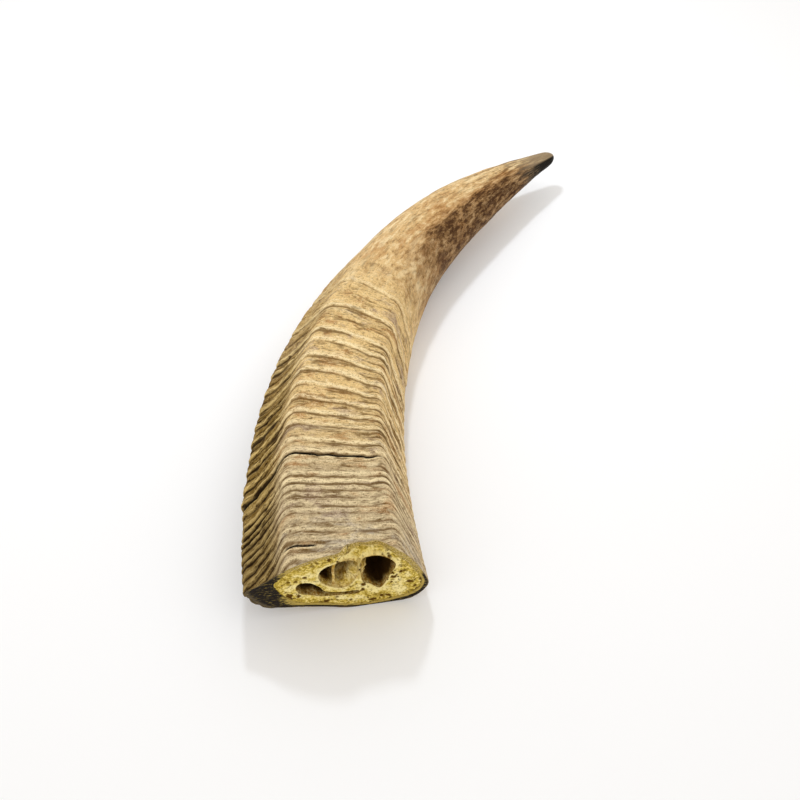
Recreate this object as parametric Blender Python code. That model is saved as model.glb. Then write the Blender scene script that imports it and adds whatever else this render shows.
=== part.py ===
"""A goat's horn, sawn off near the skull and lying on its flat side.

It is two pieces that grew separately: the ringed sheath of horn, and the bone core inside it, whose
sinuses the saw has opened. +Y runs along the horn from the sawn end, +X is towards the inside of its
bend, and the origin is on the floor under the middle of the horn's bounding box.
"""

import math

import bmesh
import bpy
from mathutils import Vector

MM = 0.001

# The whole horn, in millimetres. A station is a distance along the horn's middle line from the saw cut.
# BEND_EASE is how far the bend is gathered towards the horn's middle, from 0 for an even bend to 1.
LENGTH = 250
BEND_DEG = 62.8
BEND_EASE = 0.58
BASE_MIDDLE = (-46.9, -100.8)
TIP_DOME = 4.5
TIP_DOME_DEGREES = (30, 55, 75)

# Size of the section at evenly spaced stations, from the saw cut to the tip.
STATION_STEP = 50.0
WIDTHS = (60.0, 54.8, 46.3, 33.8, 24.0, 5.2)
HEIGHTS = (33.6, 33.4, 32.2, 29.4, 18.6, 4.8)
UNDERSIDES = (0.0, 0.0, 0.0, 0.6, 5.8, 12.0)

# The sheath's outline at the saw cut, seen from the sawn end: across, up, how far the growth lines
# run ahead towards the tip there, and how deep the grooves between them are.
SHEATH_OUTLINE = (
    (-28.6, 17.4, -8.5, 1.0),
    (-24.2, 20.6, -5.5, 1.0),
    (-18.4, 24.8, -1.0, 0.9),
    (-13.2, 28.6, 4.5, 0.6),
    (-4.0, 32.3, 2.0, 0.4),
    (6.0, 33.5, 0.0, 0.4),
    (15.0, 32.8, -0.5, 0.4),
    (21.4, 29.4, 1.0, 0.5),
    (25.8, 22.2, -5.0, 0.6),
    (28.9, 14.4, -8.5, 0.6),
    (30.0, 6.8, -11.0, 0.5),
    (24.0, 0.2, -9.0, 0.3),
    (9.0, -0.9, -4.0, 0.3),
    (-9.0, 4.2, -5.0, 0.4),
    (-22.2, 7.4, -9.0, 0.8),
)
BASE_WIDTH = WIDTHS[0]
BASE_HEIGHT = HEIGHTS[0]
SHEATH_STEPS = 3

# Growth lines, at the stations where they would cross the outline with no run-ahead.
GROWTH_LINES = (
    -13, -8, -3, 1, 4, 7.5, 11, 14.5, 17, 20.5, 23, 25.5, 28.5,
    33, 37.5, 42, 49, 54, 60, 66.5, 73, 80, 87.5, 93, 106, 120
)
RINGS_END = 132.0

# From one growth line to the next: the share of the way there, and how deep the groove still is.
RING_SHAPE = ((0.0, 1.0), (0.3, 0.0), (0.72, 0.2))

# Where the rings start to grow fainter, and how deep the last of them still are.
FAINTER_FROM = 92.0
FAINTEST = 0.4

# Where the growth lines stop running ahead, where the section turns round, and the smooth part's loops.
RUN_AHEAD_FADE = (60.0, 190.0)
ROUND_FADE = (80.0, 200.0)
SMOOTH_STEP = 14.0

# The bone core: its outline at the saw cut, and the stations of its loops up to its blunt end.
CORE_LENGTH = 155.0
CORE_GAP = 0.35
CORE_STEPS = 2
CORE_OUTLINE = (
    (-18.6, 18.8),
    (-16.8, 22.8),
    (-11.6, 27.4),
    (-4.5, 30.4),
    (5.0, 31.8),
    (15.0, 30.6),
    (21.2, 25.6),
    (25.4, 17.6),
    (27.8, 10.0),
    (24.0, 4.0),
    (9.0, 1.8),
    (-4.0, 5.2),
    (-13.4, 9.2),
)
CORE_STATIONS = (0.0, 30.0, 60.0, 90.0, 115.0, 135.0, 148.0, 153.5)

# The sinuses that the cut has opened: the outline of each at the cut, and how far up the core it runs.
LEFT_SINUS = (
    (-4.8, 21.4),
    (-3.0, 25.6),
    (1.2, 27.6),
    (5.0, 28.3),
    (7.6, 26.2),
    (7.7, 20.2),
    (5.4, 14.6),
    (1.6, 12.8),
    (-3.4, 16.6),
)
RIGHT_SINUS = (
    (9.0, 26.9),
    (11.6, 28.8),
    (15.0, 28.2),
    (18.4, 24.8),
    (19.6, 21.4),
    (17.6, 16.2),
    (14.6, 9.8),
    (11.4, 12.8),
    (8.7, 16.0),
)
SLOT_SINUS = (
    (-12.2, 16.4),
    (-10.6, 18.8),
    (-7.6, 18.4),
    (-4.9, 15.6),
    (-3.0, 12.2),
    (1.4, 10.6),
    (6.9, 10.2),
    (6.8, 8.2),
    (-3.9, 9.4),
    (-7.1, 10.9),
    (-11.0, 12.8),
)
SINUSES = {
    "left_sinus": (LEFT_SINUS, 42.0),
    "right_sinus": (RIGHT_SINUS, 55.0),
    "slot_sinus": (SLOT_SINUS, 20.0),
}
SINUS_STEPS = 2
SINUS_SHARES = (0.0, 0.3, 0.6, 0.85, 0.97)

# How far the solids run on past the saw cut before they are sawn off.
SAW_MARGIN = 4.0

HORN_COLOUR = (0.48, 0.33, 0.17)
HORN_ROUGHNESS = 0.55
BONE_COLOUR = (0.66, 0.56, 0.22)
BONE_ROUGHNESS = 0.8
SHARP_DEG = 45.0


def material(name, colour, roughness):
    """A plain finish for one piece."""
    made = bpy.data.materials.new(name)
    made.use_nodes = True
    shader = made.node_tree.nodes["Principled BSDF"]
    shader.inputs["Base Color"].default_value = (*colour, 1.0)
    shader.inputs["Roughness"].default_value = roughness
    shader.inputs["Metallic"].default_value = 0.0
    return made


def curve_value(before, start, end, after, share):
    """A value on the smooth curve that runs from start to end."""
    bend = 2 * before - 5 * start + 4 * end - after
    twist = 3 * start - before - 3 * end + after
    return 0.5 * (2 * start + (end - before) * share + bend * share**2 + twist * share**3)


def closed_curve(points, steps):
    """Points on a smooth closed curve, with the same number of steps from each point to the next."""
    count = len(points)
    curve = []
    for i in range(count):
        four = [points[(i + k - 1) % count] for k in range(4)]
        for step in range(steps):
            curve.append(tuple(curve_value(*values, step / steps) for values in zip(*four)))
    return curve


def along(values, station):
    """The value of an evenly spaced row of sizes at one station."""
    last = len(values) - 1
    place = min(max(station / STATION_STEP, 0.0), last - 1e-6)
    i = int(place)
    start, end = values[i], values[i + 1]
    before = values[i - 1] if i > 0 else start
    after = values[i + 2] if i + 2 <= last else 2 * end - start
    return curve_value(before, start, end, after, place - i)


def fade(start, end, value):
    """Goes smoothly from 0 at start to 1 at end."""
    share = min(max((value - start) / (end - start), 0.0), 1.0)
    return share * share * (3 - 2 * share)


def heading(station):
    """Which way the horn points there, in radians turned from +Y towards +X."""
    share = min(max(station / LENGTH, 0.0), 1.0)
    return math.radians(BEND_DEG) * ((1 - BEND_EASE) * share + BEND_EASE * fade(0.0, 1.0, share))


def middle_line():
    """The middle line's place over the floor at each whole millimetre from the saw cut."""
    x, y = BASE_MIDDLE
    line = [(x, y)]
    for mm in range(LENGTH):
        turned = heading(mm + 0.5)
        x += math.sin(turned)
        y += math.cos(turned)
        line.append((x, y))
    return line


MIDDLE_LINE = middle_line()


def place(across, up, station):
    """A point across and up from the middle line at a station, in metres."""
    turned = heading(station)
    whole = min(max(int(station), 0), LENGTH - 1)
    rest = station - whole
    x = MIDDLE_LINE[whole][0] + rest * math.sin(turned) + across * math.cos(turned)
    y = MIDDLE_LINE[whole][1] + rest * math.cos(turned) - across * math.sin(turned)
    return Vector((x, y, up + along(UNDERSIDES, station))) * MM


def sheath_section(outline, station):
    """The outline at one station: shrunk with the horn, and rounder towards the tip."""
    wide = along(WIDTHS, station) / BASE_WIDTH
    high = along(HEIGHTS, station) / BASE_HEIGHT
    rounder = fade(*ROUND_FADE, station)
    middle = BASE_HEIGHT / 2
    section = []
    for across, up in outline:
        angle = math.atan2((up - middle) / middle, across / (BASE_WIDTH / 2))
        across += (math.cos(angle) * BASE_WIDTH / 2 - across) * rounder
        up += (middle + math.sin(angle) * middle - up) * rounder
        section.append((across * wide, up * high))
    return section


def inward(section, i):
    """The direction from a point of a section into it."""
    before = section[i - 1]
    after = section[(i + 1) % len(section)]
    step = Vector((after[0] - before[0], after[1] - before[1])).normalized()
    return Vector((step.y, -step.x))


def sheath_loop(curve, station, groove, shrink=1.0):
    """One loop of the sheath's skin along a growth line. groove is how deep it is cut, from 0 to 1."""
    ahead = 1.0 - fade(*RUN_AHEAD_FADE, station)
    outline = [point[:2] for point in curve]
    middle = along(HEIGHTS, station) / 2
    loop = []
    for i, (_, _, run, depth) in enumerate(curve):
        there = station + run * ahead
        section = sheath_section(outline, there)
        point = Vector(section[i]) + inward(section, i) * (groove * depth)
        across = point.x * shrink
        up = middle + (point.y - middle) * shrink
        spot = place(across, up, there)
        spot.z = max(spot.z, 0.0)
        loop.append(spot)
    return loop


def skin_loops(curve):
    """Every loop of the sheath's skin, from behind the saw cut to the tip."""
    loops = []
    ends = [*GROWTH_LINES[1:], RINGS_END]
    for start, end in zip(GROWTH_LINES, ends):
        depth = 1.0 - (1.0 - FAINTEST) * fade(FAINTER_FROM, RINGS_END, start)
        for share, groove in RING_SHAPE:
            loops.append(sheath_loop(curve, start + share * (end - start), groove * depth))
    smooth_length = LENGTH - TIP_DOME - RINGS_END
    count = round(smooth_length / SMOOTH_STEP)
    for i in range(count + 1):
        loops.append(sheath_loop(curve, RINGS_END + smooth_length * i / count, 0.0))
    for degrees in TIP_DOME_DEGREES:
        angle = math.radians(degrees)
        station = LENGTH - TIP_DOME * (1 - math.sin(angle))
        loops.append(sheath_loop(curve, station, 0.0, math.cos(angle)))
    return loops


def core_loop(curve, station, size, gap=0.0):
    """One loop of the bone core, or of the hollow around it, which is wider by the gap."""
    wide = along(WIDTHS, station) / BASE_WIDTH
    high = along(HEIGHTS, station) / BASE_HEIGHT
    middle = BASE_HEIGHT / 2
    section = [(a * wide * size, (middle + (u - middle) * size) * high) for a, u in curve]
    loop = []
    for i, (across, up) in enumerate(section):
        out = -inward(section, i) * gap
        loop.append(place(across + out.x, up + out.y, station))
    return loop


def core_loops(curve, gap=0.0):
    """The core's loops from behind the saw cut to its blunt end inside the horn."""
    loops = [core_loop(curve, -SAW_MARGIN, 1.0, gap)]
    for station in CORE_STATIONS:
        size = math.sqrt(1.0 - (station / CORE_LENGTH) ** 3)
        loops.append(core_loop(curve, station + gap * fade(0.0, CORE_LENGTH, station), size, gap))
    return loops


def sinus_loops(outline, depth):
    """A sinus: its mouth as it shows at the cut, narrowing as it runs up the core."""
    curve = [Vector(point) for point in closed_curve(outline, SINUS_STEPS)]
    middle = sum(curve, Vector((0.0, 0.0))) / len(curve)
    loops = [[place(*point, -SAW_MARGIN) for point in curve]]
    for share in SINUS_SHARES:
        size = math.sqrt(1.0 - share**3)
        narrowed = [middle + (point - middle) * size for point in curve]
        loops.append([place(*point, share * depth) for point in narrowed])
    return loops


def loft(name, loops):
    """A closed solid: loops of points skinned one to the next, with a flat cap at each end."""
    bm = bmesh.new()
    rows = [[bm.verts.new(point) for point in loop] for loop in loops]
    bm.faces.new(rows[0])
    bm.faces.new(list(reversed(rows[-1])))
    count = len(rows[0])
    for near, far in zip(rows, rows[1:]):
        for i in range(count):
            following = (i + 1) % count
            bm.faces.new((near[i], far[i], far[following], near[following]))
    bmesh.ops.recalc_face_normals(bm, faces=bm.faces)
    mesh = bpy.data.meshes.new(name)
    bm.to_mesh(mesh)
    bm.free()
    made = bpy.data.objects.new(name, mesh)
    bpy.context.scene.collection.objects.link(made)
    return made


def saw(piece):
    """Cuts a piece off flat at the saw cut and closes the cut."""
    bm = bmesh.new()
    bm.from_mesh(piece.data)
    cut = bmesh.ops.bisect_plane(
        bm,
        geom=[*bm.verts, *bm.edges, *bm.faces],
        dist=1e-7,
        plane_co=place(0.0, 0.0, 0.0),
        plane_no=(0.0, -1.0, 0.0),
        clear_outer=True,
    )
    rim = [edge for edge in cut["geom_cut"] if isinstance(edge, bmesh.types.BMEdge)]
    bmesh.ops.contextual_create(bm, geom=rim)
    bmesh.ops.recalc_face_normals(bm, faces=bm.faces)
    bm.to_mesh(piece.data)
    bm.free()


def hollow_out(piece, cutter):
    """Takes a cutter's shape out of a piece, and hides the cutter."""
    cut = piece.modifiers.new("cut " + cutter.name, "BOOLEAN")
    cut.operation = "DIFFERENCE"
    cut.solver = "EXACT"
    cut.object = cutter
    cutter.hide_render = True
    cutter.display_type = "WIRE"


def shade(piece, finish):
    """Gives a piece its finish and smooth shading, with sharp edges where it turns fast."""
    piece.data.materials.append(finish)
    piece.data.shade_smooth()
    piece.data.set_sharp_from_angle(angle=math.radians(SHARP_DEG))


def horn_sheath():
    """The ringed horn itself, hollow where the bone core sits."""
    sheath = loft("horn_sheath", skin_loops(closed_curve(SHEATH_OUTLINE, SHEATH_STEPS)))
    saw(sheath)
    shade(sheath, material("horn", HORN_COLOUR, HORN_ROUGHNESS))
    hollow = core_loops(closed_curve(CORE_OUTLINE, CORE_STEPS), CORE_GAP)
    hollow_out(sheath, loft("core_hollow", hollow))


def bone_core():
    """The bone that fills the lower part of the sheath, with its three open sinuses."""
    core = loft("bone_core", core_loops(closed_curve(CORE_OUTLINE, CORE_STEPS)))
    saw(core)
    shade(core, material("bone", BONE_COLOUR, BONE_ROUGHNESS))
    for name, (outline, depth) in SINUSES.items():
        hollow_out(core, loft(name, sinus_loops(outline, depth)))


def main():
    for thing in list(bpy.data.objects):
        bpy.data.objects.remove(thing)
    horn_sheath()
    bone_core()


main()
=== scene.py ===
"""A goat's horn, sawn off near the skull: the ringed sheath, the spongy bone core and a plain studio.

Sizes are in millimetres and are turned into metres where a vertex is placed. A station is a distance
along the horn's middle line from the saw cut, across is to the right and up is up, seen from the
sawn end. Growth is the station where a growth line would be with no run-ahead.
"""

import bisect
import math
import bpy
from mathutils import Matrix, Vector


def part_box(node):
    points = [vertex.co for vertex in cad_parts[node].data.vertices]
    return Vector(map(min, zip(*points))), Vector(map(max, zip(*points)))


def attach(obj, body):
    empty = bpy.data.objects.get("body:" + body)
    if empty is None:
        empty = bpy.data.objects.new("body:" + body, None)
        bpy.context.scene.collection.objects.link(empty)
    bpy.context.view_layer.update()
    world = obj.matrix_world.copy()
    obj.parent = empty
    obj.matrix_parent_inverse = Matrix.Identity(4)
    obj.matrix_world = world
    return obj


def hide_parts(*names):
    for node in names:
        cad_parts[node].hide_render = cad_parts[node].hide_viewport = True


bl_info = {
    "name": "Goat horn",
    "version": (1, 0, 0),
    "blender": (4, 5, 0),
    "location": "3D View > Sidebar > Goat horn",
    "description": "Ringed goat horn with a sawn bone core, on a pale studio floor",
    "category": "Add Mesh",
}

import bmesh
import bpy
from bpy.props import FloatProperty, FloatVectorProperty, PointerProperty
from mathutils import Euler, Vector, noise

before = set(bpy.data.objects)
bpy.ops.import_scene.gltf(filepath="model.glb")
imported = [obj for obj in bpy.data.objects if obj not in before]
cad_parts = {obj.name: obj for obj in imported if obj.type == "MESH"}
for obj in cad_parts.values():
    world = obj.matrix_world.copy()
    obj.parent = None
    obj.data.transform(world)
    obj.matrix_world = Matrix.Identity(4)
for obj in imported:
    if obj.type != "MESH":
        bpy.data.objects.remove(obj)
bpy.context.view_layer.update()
MM = 0.001

# The horn's course from the saw cut to the tip, with its width, its height and how far its underside is
# over the floor at every station step.
LENGTH = 250
BEND_DEG = 62.8
BEND_EASE = 0.58
BASE_MIDDLE = (-46.9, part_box("horn_sheath")[0].y / MM)
TIP_DOME = 4.5
STATION_STEP = 50.0
WIDTHS = (60.0, 54.8, 46.3, 33.8, 24.0, 5.2)
HEIGHTS = (33.6, 33.4, 32.2, 29.4, 18.6, 4.8)
UNDERSIDES = (0.0, 0.0, 0.0, 0.6, 5.8, 12.0)
BASE_WIDTH = WIDTHS[0]
BASE_HEIGHT = HEIGHTS[0]

# The sheath's outline at the saw cut: across, up, and how far the growth lines run ahead there.
SHEATH_OUTLINE = (
    (-28.6, 17.4, -8.5),
    (-24.2, 20.6, -5.5),
    (-18.4, 24.8, -1.0),
    (-13.2, 28.6, 4.5),
    (-4.0, 32.3, 2.0),
    (6.0, 33.5, 0.0),
    (15.0, 32.8, -0.5),
    (21.4, 29.4, 1.0),
    (25.8, 22.2, -5.0),
    (28.9, 14.4, -8.5),
    (30.0, 6.8, -11.0),
    (24.0, 0.2, -9.0),
    (9.0, -0.9, -4.0),
    (-9.0, 4.2, -5.0),
    (-22.2, 7.4, -9.0),
)

# The growth lines' places, where they end, where they start to get fainter and how faint they end up,
# and how deep each one is cut.
GROWTH_LINES = (
    -13, -8, -3, 1, 4, 7.5, 11, 14.5, 17, 20.5, 23, 25.5, 28.5,
    33, 37.5, 42, 49, 54, 60, 66.5, 73, 80, 87.5, 93, 106, 120
)
RINGS_END = 132.0
FAINTER_FROM = 92.0
FAINTEST = 0.4
LINE_STRENGTHS = (
    0.6, 0.6, 0.6, 0.45, 0.35, 0.6, 0.35, 0.4, 0.65, 0.45, 0.55, 1.0, 0.7,
    0.35, 1.0, 0.9, 0.8, 0.9, 0.8, 0.95, 1.0, 1.0, 1.0, 1.0, 1.1, 1.1
)

# Widths of the ledge past a growth line, of the lip before the next one and of the crest between, which
# carries a painted highlight.
LEDGE = 1.1
LIP = 0.45
CREST_WIDTH = 0.8

# Where the run-ahead fades out towards the tip, where it has come in fully from the cut, and where the
# section turns from the outline at the cut to an oval.
RUN_AHEAD_FADE = (60.0, 190.0)
RUN_AHEAD_AT_CUT = 25.0
ROUND_FADE = (80.0, 200.0)

# The growth line that has cracked open across the top, and the short crack nearer the cut: its place
# along the horn and where it runs from and to across.
CRACK_LINE = 37.5
SHORT_CRACK = (2.6, -14.0, -4.0)
# Painted shade in the open cracks, near black.
CRACK_SHADE = (0.008, 0.006, 0.004)

# The bone core and the mouths of its sinuses, at the saw cut. The sheath's hollow is larger than the
# core by the ease.
CORE_LENGTH = 155.0
HOLLOW_EASE = 1.006
CORE_OUTLINE = (
    (-18.6, 18.8),
    (-16.8, 22.8),
    (-11.6, 27.4),
    (-4.5, 30.4),
    (5.0, 31.8),
    (15.0, 30.6),
    (21.2, 25.6),
    (25.4, 17.6),
    (27.8, 10.0),
    (24.0, 4.0),
    (9.0, 1.8),
    (-4.0, 5.2),
    (-13.4, 9.2),
)
LEFT_SINUS = (
    (-4.8, 21.4),
    (-3.0, 25.6),
    (1.2, 27.6),
    (5.0, 28.3),
    (7.6, 26.2),
    (7.7, 20.2),
    (5.4, 14.6),
    (1.6, 12.8),
    (-3.4, 16.6),
)
RIGHT_SINUS = (
    (9.0, 26.9),
    (11.6, 28.8),
    (15.0, 28.2),
    (18.4, 24.8),
    (19.6, 21.4),
    (17.6, 16.2),
    (14.6, 9.8),
    (11.4, 12.8),
    (8.7, 16.0),
)
SLOT_SINUS = (
    (-12.2, 16.4),
    (-10.6, 18.8),
    (-7.6, 18.4),
    (-4.9, 15.6),
    (-3.0, 12.2),
    (1.4, 10.6),
    (6.9, 10.2),
    (6.8, 8.2),
    (-3.9, 9.4),
    (-7.1, 10.9),
    (-11.0, 12.8),
)

# The mouth and the depth of each sinus, then how far spongy bone stands into each, on which side, and
# how dark the painted shade in the sinus is at its mouth; it darkens further in.
SINUSES = ((LEFT_SINUS, 42.0), (RIGHT_SINUS, 55.0), (SLOT_SINUS, 20.0))
SINUS_LININGS = ((3.0, (0.7, -0.71), 0.36), (2.0, (-1.0, 0.1), 0.66), (0.0, (1.0, 0.0), 0.66))

# The thin wall in the left sinus: its place across and where it runs from and to going up, how far
# behind the cut it starts, how far in it reaches from there, and its thickness.
LAMELLA = (-0.4, 12.4, 28.0)
LAMELLA_START = 1.0
LAMELLA_REACH = 14.0
LAMELLA_THICKNESS = 0.8

# How finely the pieces are modelled, and the angle from which an edge is shaded as sharp.
ROUND = 192
RINGED_STEP = 0.36
SMOOTH_STEP = 1.7
HOLLOW_ROWS = 14
RIM_ROWS = 8
DOME_ROWS = 8
FACE_STEP = 0.28
CORE_ROWS = 28
SINUS_ROWS = 36
SHARP_DEG = 60

# The studio, in metres.
FLOOR_REACH = 4.0
LAMP_SIZE = 0.04
LAMP_PLACE = (-0.028, 0.2, 0.345)
LAMP_TARGET = (0.0, -0.02, 0.0)
LAMP_COLOUR = (0.86, 0.93, 1.0)
EVEN_LIGHT_COLOUR = (1.0, 0.975, 0.93, 1.0)

# Where the middle of the sawn end's foot is in the picture, and how large the picture and the horn are.
PICTURE = 800
FOOT_PIXEL = (336.6, 609.3)
PIXELS_PER_METRE = 3080.0
SENSOR = 36.0


def linear(red, green, blue):
    """A colour given as the three 0 to 255 numbers of a picture editor, for a shader."""
    return tuple((value / 255) ** 2.2 for value in (red, green, blue))


def colour(label, about, default):
    """A colour that the panel can change, given as in a picture editor."""
    return FloatVectorProperty(
        name=label, description=about, subtype="COLOR", size=3, min=0.0, max=1.0, default=linear(*default)
    )


def amount(label, about, default, lowest=0.0):
    """A number that the panel can change."""
    return FloatProperty(name=label, description=about, default=default, min=lowest)


class SheathSettings(bpy.types.PropertyGroup):
    """Relief and colours of the ringed sheath."""

    ring_depth: amount("Ring depth", "Depth of the grooves against the modelled ones", 1.0)
    fine_depth: amount("Fine line depth", "Depth of the fine growth lines, in mm", 0.2)
    crack_depth: amount("Crack depth", "How deep the crack is open, in mm", 1.0)
    ledge_height: amount("Ledge height", "How far the ring past the crack stands out, in mm", 0.8)
    chip_depth: amount("Chip depth", "How far the rim has broken back at its top, in mm", 3.2)
    weathered: colour("Weathered", "Horn near the saw cut", (190, 168, 132))
    golden: colour("Golden", "Horn between the rings at mid-length", (230, 194, 132))
    tan: colour("Tan", "The smooth part of the horn", (212, 173, 118))
    stain: colour("Stain", "Orange-brown stains", (168, 112, 56))
    mauve: colour("Mauve", "Greyish worn patches", (160, 134, 118))
    ashen: colour("Ashen", "Bleached patches by the saw cut", (186, 176, 158))
    grey_tip: colour("Tip", "The worn top of the tip", (136, 121, 100))
    black_tip: colour("Tip underneath", "The dark side of the tip", (30, 25, 17))
    # Cream is both the horn's own pale flecks and the painted highlight on the crests and along the cracks'
    # lips.
    cream: colour("Cream", "Highlights on the crests and flecks", (250, 228, 180))
    # Painted shade in the grooves; the same colour also gives the horn's own dark flecks and mottling.
    groove: colour("Grooves", "The bottom of the grooves", (98, 70, 30))
    # The bevel's colours are partly its own darker horn and partly painted shade, as it faces away from the
    # light and its deep ledges shade each other; its crests get a painted highlight and its grooves
    # near-black painted shade.
    keel: colour("Keel", "Horn on the bevel along the left side", (126, 97, 42))
    keel_light: colour("Keel crests", "Highlights of the left bevel", (216, 186, 120))
    keel_groove: colour("Keel grooves", "Grooves of the left bevel", (38, 22, 2))
    inner_brown: colour("Inner bend", "The dark inside of the bend", (72, 46, 22))
    sawn_dark: colour("Sawn horn, dark", "Sawn horn at the keel and lower right", (22, 15, 7))
    sawn_tan: colour("Sawn horn, tan", "Sawn horn at the upper right", (186, 160, 80))


class CoreSettings(bpy.types.PropertyGroup):
    """Relief and colours of the bone core."""

    pore_depth: amount("Pore depth", "Depth of the pores in the cut face, in mm", 0.38)
    top_break: amount("Broken top", "How far the top of the cut face has broken back, in mm", 2.2)
    # Also the painted highlight along the sinus rims.
    cream: colour("Cream", "Clean bone", (250, 232, 162))
    yellow: colour("Yellow", "Stained bone", (220, 192, 88))
    olive: colour("Olive", "Darker stains", (142, 116, 38))
    # Painted shade at the bottom of the pores, also the dark spots on the sinus walls and the thin wall.
    pit: colour("Pits", "The bottom of the pores", (94, 66, 18))
    # The sinus lining's own brown; it covers more of the wall further in, along with the painted shade.
    sinus: colour("Sinus", "The lining of the sinuses", (160, 114, 42))
    # Painted shade deep in the sinuses.
    depths: colour("Depths", "The dark inner part of the sinuses", (62, 42, 12))


class StageSettings(bpy.types.PropertyGroup):
    """Floor, lights and camera."""

    floor: colour("Floor", "Floor", (239, 239, 241))
    floor_glow: amount("Floor glow", "Light given off by the floor", 0.06)
    ambient: amount("Ambient", "Strength of the even light", 0.945)
    key: amount("Key", "Power of the lamp beyond the tip, in watts", 0.5)
    heading: FloatProperty(
        name="Heading",
        description="Camera's turn from +Y",
        default=math.radians(-9.35),
        subtype="ANGLE",
    )
    elevation: FloatProperty(
        name="Elevation",
        description="Camera's angle over the floor",
        default=math.radians(50),
        subtype="ANGLE",
    )
    lens: amount("Lens", "Focal length, in mm, on a 36 mm sensor", 49.5, lowest=1.0)


class Socket:
    """A shader node's output that works in sums."""

    def __init__(self, finish, output):
        self.finish = finish
        self.output = output

    def maths(self, operation, first, second):
        return self.finish.node("ShaderNodeMath", {"operation": operation}, {0: first, 1: second})

    def __add__(self, other):
        return self.maths("ADD", self, other)

    def __sub__(self, other):
        return self.maths("SUBTRACT", self, other)

    def __rsub__(self, other):
        return self.maths("SUBTRACT", other, self)

    def __mul__(self, other):
        return self.maths("MULTIPLY", self, other)

    __radd__ = __add__
    __rmul__ = __mul__


class Finish:
    """A material built from nodes around one Principled shader."""

    def __init__(self, name, roughness, shine):
        self.material = bpy.data.materials.new(name)
        self.material.use_nodes = True
        self.tree = self.material.node_tree
        self.shader = self.tree.nodes["Principled BSDF"]
        self.shader.inputs["Roughness"].default_value = roughness
        self.shader.inputs["Metallic"].default_value = 0.0
        self.shader.inputs["Specular IOR Level"].default_value = shine

    def node(self, kind, settings, sockets, output=0):
        """Adds a node, with links for the sockets that are given as sockets and values for the others."""
        made = self.tree.nodes.new(kind)
        for name, value in settings.items():
            setattr(made, name, value)
        for name, value in sockets.items():
            if isinstance(value, Socket):
                self.tree.links.new(value.output, made.inputs[name])
            else:
                made.inputs[name].default_value = value
        return Socket(self, made.outputs[output])

    def attribute(self, name, output="Fac"):
        return self.node("ShaderNodeAttribute", {"attribute_name": name}, {}, output)

    def channel(self, vector, axis):
        """One of a vector's three values."""
        return self.node("ShaderNodeSeparateXYZ", {}, {0: vector}, axis)

    def stretched(self, vector, factors):
        """A vector with its three values scaled one by one."""
        return self.node("ShaderNodeVectorMath", {"operation": "MULTIPLY"}, {0: vector, 1: factors})

    def noise(self, vector, factors, detail=3.0, roughness=0.55, distortion=0.0):
        """Random value around a half. factors are its lumps per mm along the vector's three values."""
        sockets = {
            "Vector": self.stretched(vector, factors),
            "Scale": 1.0,
            "Detail": detail,
            "Roughness": roughness,
            "Distortion": distortion,
        }
        return self.node("ShaderNodeTexNoise", {}, sockets)

    def part(self, value, low, high):
        """Goes smoothly from 0 at low to 1 at high."""
        sockets = {"Value": value, "From Min": low, "From Max": high}
        return self.node("ShaderNodeMapRange", {"interpolation_type": "SMOOTHSTEP"}, sockets)

    def mix(self, share, first, second):
        """A colour between two, by share."""
        first = first if isinstance(first, Socket) else (*first, 1.0)
        second = second if isinstance(second, Socket) else (*second, 1.0)
        return self.node("ShaderNodeMix", {"data_type": "RGBA"}, {0: share, 6: first, 7: second}, 2)

    def feed(self, name, source):
        self.tree.links.new(source.output, self.shader.inputs[name])

    def bump(self, height, strength, distance):
        sockets = {"Height": height, "Strength": strength, "Distance": distance}
        self.feed("Normal", self.node("ShaderNodeBump", {}, sockets))


def curve_value(before, start, end, after, share):
    """A value on the smooth curve that runs from start to end."""
    bend = 2 * before - 5 * start + 4 * end - after
    twist = 3 * start - before - 3 * end + after
    return 0.5 * (2 * start + (end - before) * share + bend * share**2 + twist * share**3)


def closed_curve(points, steps):
    """Points on a smooth closed curve, with the same number of steps from each point to the next."""
    count = len(points)
    curve = []
    for i in range(count):
        four = [points[(i + k - 1) % count] for k in range(4)]
        for step in range(steps):
            curve.append(tuple(curve_value(*values, step / steps) for values in zip(*four)))
    return curve


def evenly(curve, count):
    """The same closed curve with its points the same distance apart."""
    gaps = [math.dist(a[:2], b[:2]) for a, b in zip(curve, [*curve[1:], curve[0]])]
    step = sum(gaps) / count
    even = []
    i = 0
    passed = 0.0
    for k in range(count):
        while passed + gaps[i] < k * step:
            passed += gaps[i]
            i += 1
        share = (k * step - passed) / gaps[i]
        following = curve[(i + 1) % len(curve)]
        even.append(tuple(a + (b - a) * share for a, b in zip(curve[i], following)))
    return even


def along(values, station):
    """The value of an evenly spaced row of sizes at one station."""
    last = len(values) - 1
    place = min(max(station / STATION_STEP, 0.0), last - 1e-6)
    i = int(place)
    start, end = values[i], values[i + 1]
    before = values[i - 1] if i > 0 else start
    after = values[i + 2] if i + 2 <= last else 2 * end - start
    return curve_value(before, start, end, after, place - i)


def scale_at(station):
    """How wide and how high the horn is at a station, against its size at the cut."""
    return along(WIDTHS, station) / BASE_WIDTH, along(HEIGHTS, station) / BASE_HEIGHT


def fade(start, end, value):
    """Goes smoothly from 0 at start to 1 at end."""
    share = min(max((value - start) / (end - start), 0.0), 1.0)
    return share * share * (3 - 2 * share)


def heading(station):
    """Which way the horn points there, in radians turned from +Y towards +X."""
    share = min(max(station / LENGTH, 0.0), 1.0)
    return math.radians(BEND_DEG) * ((1 - BEND_EASE) * share + BEND_EASE * fade(0.0, 1.0, share))


def middle_line():
    """The middle line's place over the floor at each whole millimetre from the saw cut."""
    x, y = BASE_MIDDLE
    line = [(x, y)]
    for mm in range(LENGTH):
        turned = heading(mm + 0.5)
        x += math.sin(turned)
        y += math.cos(turned)
        line.append((x, y))
    return line


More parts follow.
